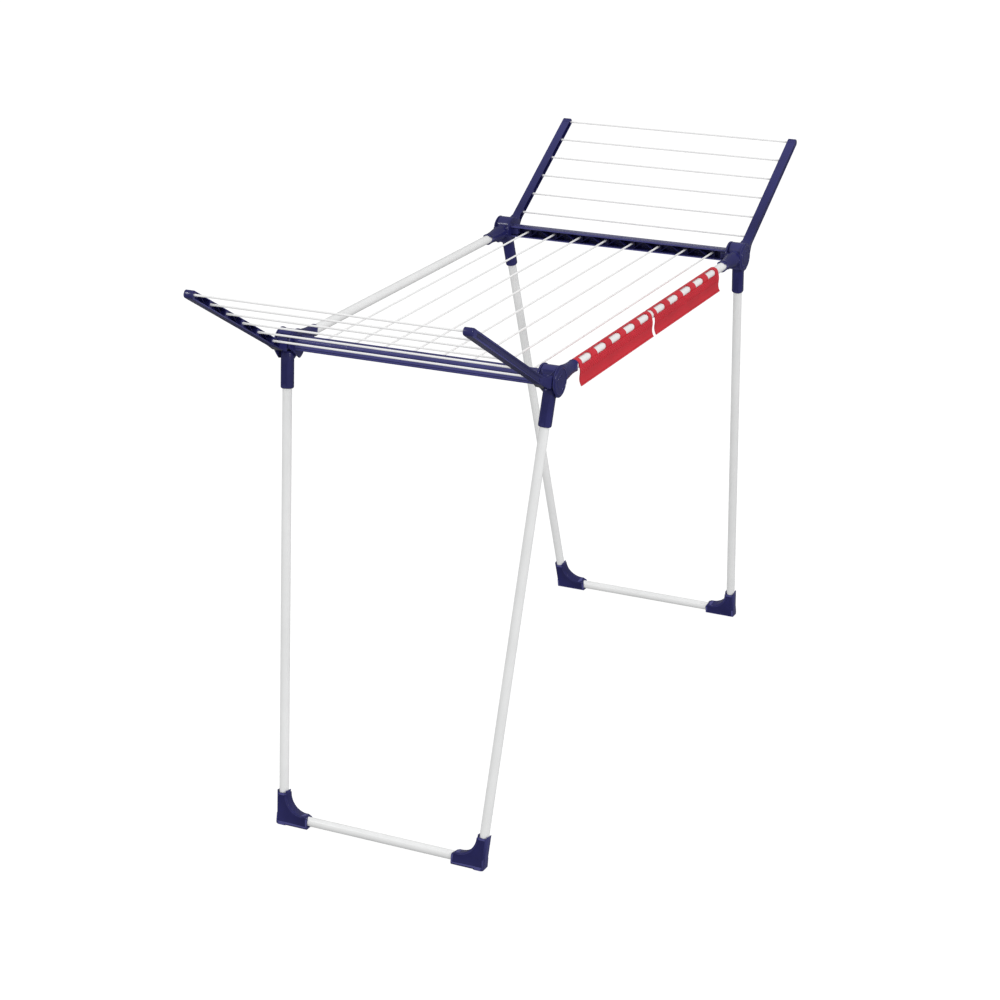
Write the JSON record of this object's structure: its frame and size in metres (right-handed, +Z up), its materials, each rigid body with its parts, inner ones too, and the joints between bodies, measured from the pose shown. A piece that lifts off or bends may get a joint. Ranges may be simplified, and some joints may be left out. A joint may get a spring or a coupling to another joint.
{
  "type": "clothes drying rack",
  "caption": "Folding winged clothes drying rack with two folding wings, swing-out tubular legs, cord drying lines and clip-on holders.",
  "frame": {"origin": "on the floor under the middle of the rack, midway between the four feet", "axes": "+X along the drying lines towards the far wing, +Y across the rack towards the left side tube, +Z up"},
  "size_m": [1.7814, 0.6456, 1.2105],
  "materials": {
    "navy_plastic": "satin moulded",
    "tube_white": "powder coated",
    "line_white": "plastic coated cord",
    "red_plastic": "satin moulded"
  },
  "bodies": {
    "root": {"left_side_tube": "tube_white", "right_side_tube": "tube_white", "near_end_bar": "navy_plastic", "near_left_corner": "navy_plastic", "near_left_wing_pin": "navy_plastic", "near_left_leg_pin": "navy_plastic", "near_right_corner": "navy_plastic", "near_right_wing_pin": "navy_plastic", "near_right_leg_pin": "navy_plastic", "far_end_bar": "navy_plastic", "far_left_corner": "navy_plastic", "far_left_wing_pin": "navy_plastic", "far_left_leg_pin": "navy_plastic", "far_right_corner": "navy_plastic", "far_right_wing_pin": "navy_plastic", "far_right_leg_pin": "navy_plastic", "centre_line_1": "line_white", "centre_line_2": "line_white", "centre_line_3": "line_white", "centre_line_4": "line_white", "centre_line_5": "line_white", "centre_line_6": "line_white", "centre_line_7": "line_white", "centre_line_8": "line_white"},
    "near_wing": {"near_left_wing_arm": "navy_plastic", "near_right_wing_arm": "navy_plastic", "near_wing_line_1": "line_white", "near_wing_line_2": "line_white", "near_wing_line_3": "line_white", "near_wing_line_4": "line_white", "near_wing_line_5": "line_white", "near_wing_line_6": "line_white"},
    "far_wing": {"far_left_wing_arm": "navy_plastic", "far_right_wing_arm": "navy_plastic", "far_wing_line_1": "line_white", "far_wing_line_2": "line_white", "far_wing_line_3": "line_white", "far_wing_line_4": "line_white", "far_wing_line_5": "line_white", "far_wing_line_6": "line_white"},
    "near_legs": {"near_left_leg_socket": "navy_plastic", "near_left_leg_tube": "tube_white", "near_left_foot": "navy_plastic", "near_right_leg_socket": "navy_plastic", "near_right_leg_tube": "tube_white", "near_right_foot": "navy_plastic", "near_cross_tube": "tube_white"},
    "far_legs": {"far_left_leg_socket": "navy_plastic", "far_left_leg_tube": "tube_white", "far_left_foot": "navy_plastic", "far_right_leg_socket": "navy_plastic", "far_right_leg_tube": "tube_white", "far_right_foot": "navy_plastic", "far_cross_tube": "tube_white"},
    "near_clip": {"near_holder": "red_plastic"},
    "far_clip": {"far_holder": "red_plastic"}
  },
  "joints": [
    {"name": "near_wing_fold", "type": "hinge", "parent": "root", "child": "near_wing", "pos_m": [-0.523, 0, 1.014], "axis": [0, 1, 0], "range_deg": [-31, 140]},
    {"name": "far_wing_fold", "type": "hinge", "parent": "root", "child": "far_wing", "pos_m": [0.523, 0, 1.014], "axis": [0, -1, 0], "range_deg": [-31, 140]},
    {"name": "near_legs_fold", "type": "hinge", "parent": "root", "child": "near_legs", "pos_m": [-0.51, 0, 0.984], "axis": [0, -1, 0], "range_deg": [0, 97.4]},
    {"name": "far_legs_fold", "type": "hinge", "parent": "root", "child": "far_legs", "pos_m": [0.51, 0, 0.984], "axis": [0, 1, 0], "range_deg": [0, 100.4]},
    {"name": "near_holder_swivel", "type": "hinge", "parent": "root", "child": "near_clip", "pos_m": [-0.222, -0.3, 1.004], "axis": [-1, 0, 0], "range_deg": [0, 95]},
    {"name": "far_holder_swivel", "type": "hinge", "parent": "root", "child": "far_clip", "pos_m": [0.174, -0.3, 1.004], "axis": [-1, 0, 0], "range_deg": [0, 95]}
  ]
}
